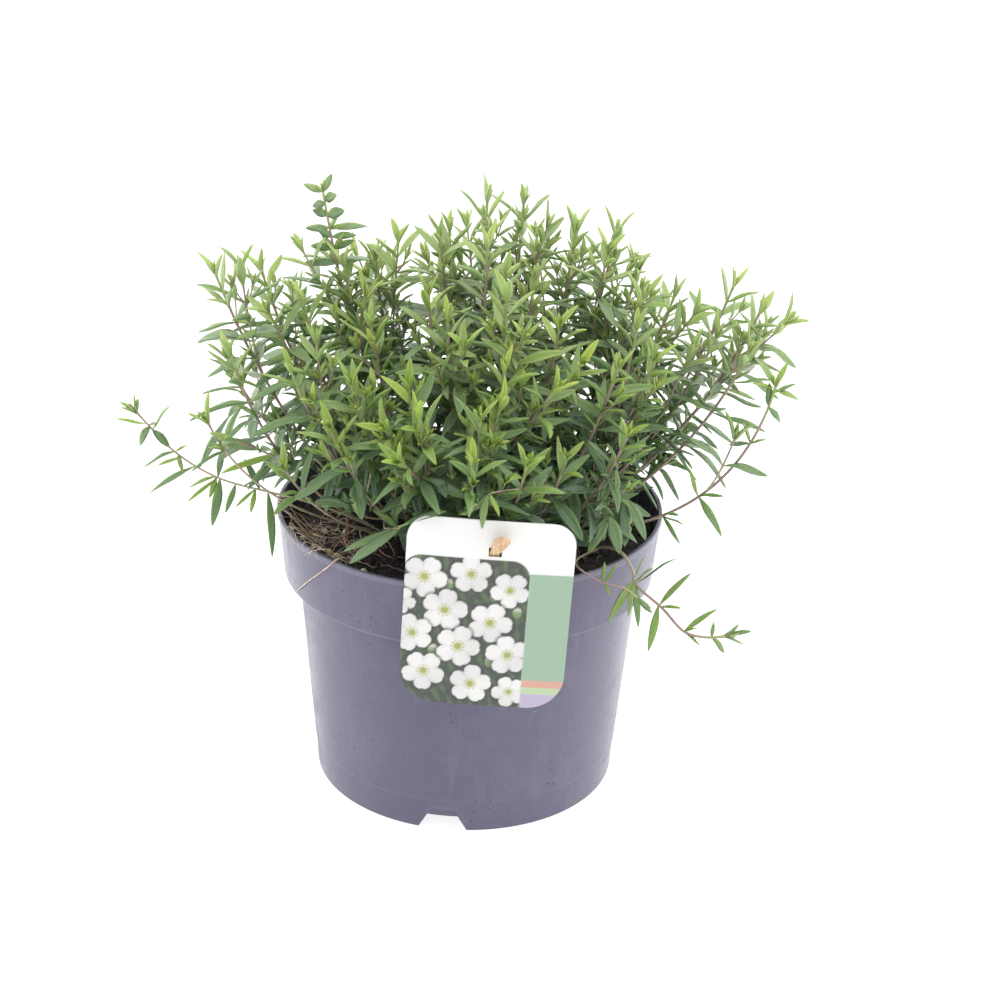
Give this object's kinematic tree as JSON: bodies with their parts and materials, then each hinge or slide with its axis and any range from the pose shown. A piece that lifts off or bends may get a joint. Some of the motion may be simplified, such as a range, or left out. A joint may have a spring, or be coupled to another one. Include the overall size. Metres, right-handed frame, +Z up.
{
  "type": "potted mountain sandwort",
  "caption": "Round nursery pot filled with soil, with a bushy dome of slender leafy shoots, some trailing over the rim, and a hanging plant label on a peg.",
  "frame": {"origin": "on the surface the pot stands on, under the middle of the pot, which is also the middle of the whole plant's spread", "axes": "+Z up, -Y towards the front where the label hangs, +X to the right seen from the front"},
  "size_m": [0.3337, 0.2349, 0.2962],
  "materials": {
    "pot_plastic": "satin slate grey with a violet cast, fine scuffs and specks of soil",
    "soil": "moist dark brown peat with fibres and fertiliser pellets",
    "card_plastic": "thin white plastic card with a satin print",
    "peg_wood": "bare light wood",
    "foliage": "fresh green lance-shaped leaves on purplish brown stems"
  },
  "bodies": {
    "root": {"pot": "pot_plastic", "soil": "soil", "label_card": "card_plastic", "label_peg": "peg_wood", "shoot_01": "foliage", "shoot_02": "foliage", "shoot_03": "foliage", "shoot_04": "foliage", "shoot_05": "foliage", "shoot_06": "foliage", "shoot_07": "foliage", "shoot_08": "foliage", "shoot_09": "foliage", "shoot_10": "foliage", "shoot_11": "foliage", "shoot_12": "foliage", "shoot_13": "foliage", "shoot_14": "foliage", "shoot_15": "foliage", "shoot_16": "foliage", "shoot_17": "foliage", "shoot_18": "foliage", "shoot_19": "foliage", "shoot_20": "foliage", "shoot_21": "foliage", "shoot_22": "foliage", "shoot_23": "foliage", "shoot_24": "foliage", "shoot_25": "foliage", "shoot_26": "foliage", "shoot_27": "foliage", "shoot_28": "foliage", "shoot_29": "foliage", "shoot_30": "foliage", "shoot_31": "foliage", "shoot_32": "foliage", "shoot_33": "foliage", "shoot_34": "foliage", "shoot_35": "foliage", "shoot_36": "foliage", "shoot_37": "foliage", "shoot_38": "foliage", "shoot_39": "foliage", "shoot_40": "foliage", "shoot_41": "foliage", "shoot_42": "foliage", "shoot_43": "foliage", "shoot_44": "foliage", "shoot_45": "foliage", "shoot_46": "foliage", "shoot_47": "foliage", "shoot_48": "foliage", "shoot_49": "foliage", "shoot_50": "foliage", "shoot_51": "foliage", "shoot_52": "foliage", "shoot_53": "foliage"}
  },
  "joints": []
}
